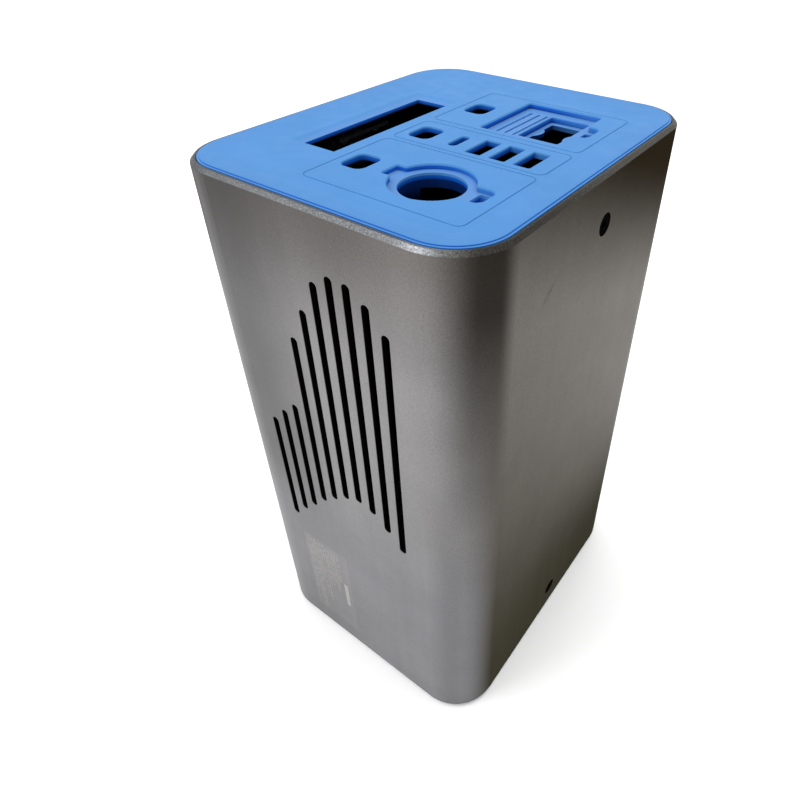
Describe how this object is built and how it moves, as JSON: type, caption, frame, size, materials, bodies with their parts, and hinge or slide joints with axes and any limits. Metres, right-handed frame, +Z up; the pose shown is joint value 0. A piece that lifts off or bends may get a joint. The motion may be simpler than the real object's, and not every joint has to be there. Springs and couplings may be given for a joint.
{
  "type": "power station housing",
  "caption": "Tall rounded aluminium sleeve with vent slots, a blue moulded top panel with socket and button openings, and a base panel on rubber feet.",
  "frame": {"origin": "on the standing surface, under the middle of the housing", "axes": "+Z up, -Y towards the side with the vent slots, +X to the right of that side"},
  "size_m": [0.122, 0.146, 0.2419],
  "materials": {
    "anodised_aluminium": "sand-blasted and anodised, satin grey",
    "blue_plastic": "satin moulded",
    "black_plastic": "fine spark texture",
    "rubber_feet": "matt",
    "black_steel": "black dip coat",
    "zinc_steel": "zinc plated",
    "black_screws": "black oxide",
    "zinc_screws": "zinc plated"
  },
  "bodies": {
    "housing": {"sleeve": "anodised_aluminium", "top_panel": "blue_plastic", "base_panel": "black_plastic", "foot_front_left": "rubber_feet", "foot_front_right": "rubber_feet", "foot_back_left": "rubber_feet", "foot_back_right": "rubber_feet", "upper_bracket_left": "black_steel", "upper_nut_left": "zinc_steel", "upper_bracket_screws_left": "zinc_screws", "upper_bracket_right": "black_steel", "upper_nut_right": "zinc_steel", "upper_bracket_screws_right": "zinc_screws", "lower_bracket_left": "black_steel", "lower_nut_left": "zinc_steel", "lower_bracket_screws_left": "zinc_screws", "lower_bracket_right": "black_steel", "lower_nut_right": "zinc_steel", "lower_bracket_screws_right": "zinc_screws"},
    "upper_side_screw_left": {"upper_side_screw_left": "black_screws"},
    "upper_side_screw_right": {"upper_side_screw_right": "black_screws"},
    "lower_side_screw_left": {"lower_side_screw_left": "black_screws"},
    "lower_side_screw_right": {"lower_side_screw_right": "black_screws"}
  },
  "joints": [
    {"name": "upper_side_screw_left_backs_out", "type": "slide", "parent": "housing", "child": "upper_side_screw_left", "axis": [-1, 0, 0], "range_m": [0, 0.012]},
    {"name": "upper_side_screw_right_backs_out", "type": "slide", "parent": "housing", "child": "upper_side_screw_right", "axis": [1, 0, 0], "range_m": [0, 0.012]},
    {"name": "lower_side_screw_left_backs_out", "type": "slide", "parent": "housing", "child": "lower_side_screw_left", "axis": [-1, 0, 0], "range_m": [0, 0.012]},
    {"name": "lower_side_screw_right_backs_out", "type": "slide", "parent": "housing", "child": "lower_side_screw_right", "axis": [1, 0, 0], "range_m": [0, 0.012]}
  ]
}
